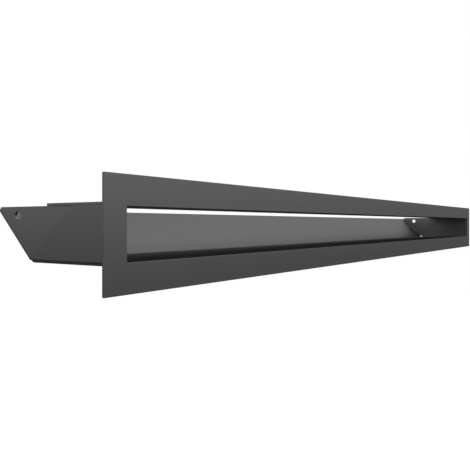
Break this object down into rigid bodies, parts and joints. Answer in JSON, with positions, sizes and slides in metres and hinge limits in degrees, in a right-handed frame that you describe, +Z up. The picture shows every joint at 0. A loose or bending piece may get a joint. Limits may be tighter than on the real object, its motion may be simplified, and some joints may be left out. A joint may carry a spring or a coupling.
{
  "type": "ventilation slot grille",
  "caption": "Long narrow slot grille of folded sheet steel: a flat faceplate with one slot, and behind it an open channel whose leaning rear wall turns warm air forward.",
  "frame": {"origin": "centre of the slot, in the plane of the faceplate's back face", "axes": "+X along the slot, to the right seen from the front; +Y into the wall, normal to the faceplate; +Z up"},
  "size_m": [0.8, 0.1008, 0.06],
  "materials": {
    "powder_coat": "dark grey powder coat with a fine satin texture"
  },
  "bodies": {
    "root": {"faceplate": "powder_coat", "top_wall": "powder_coat", "deflector_tray": "powder_coat"}
  },
  "joints": []
}
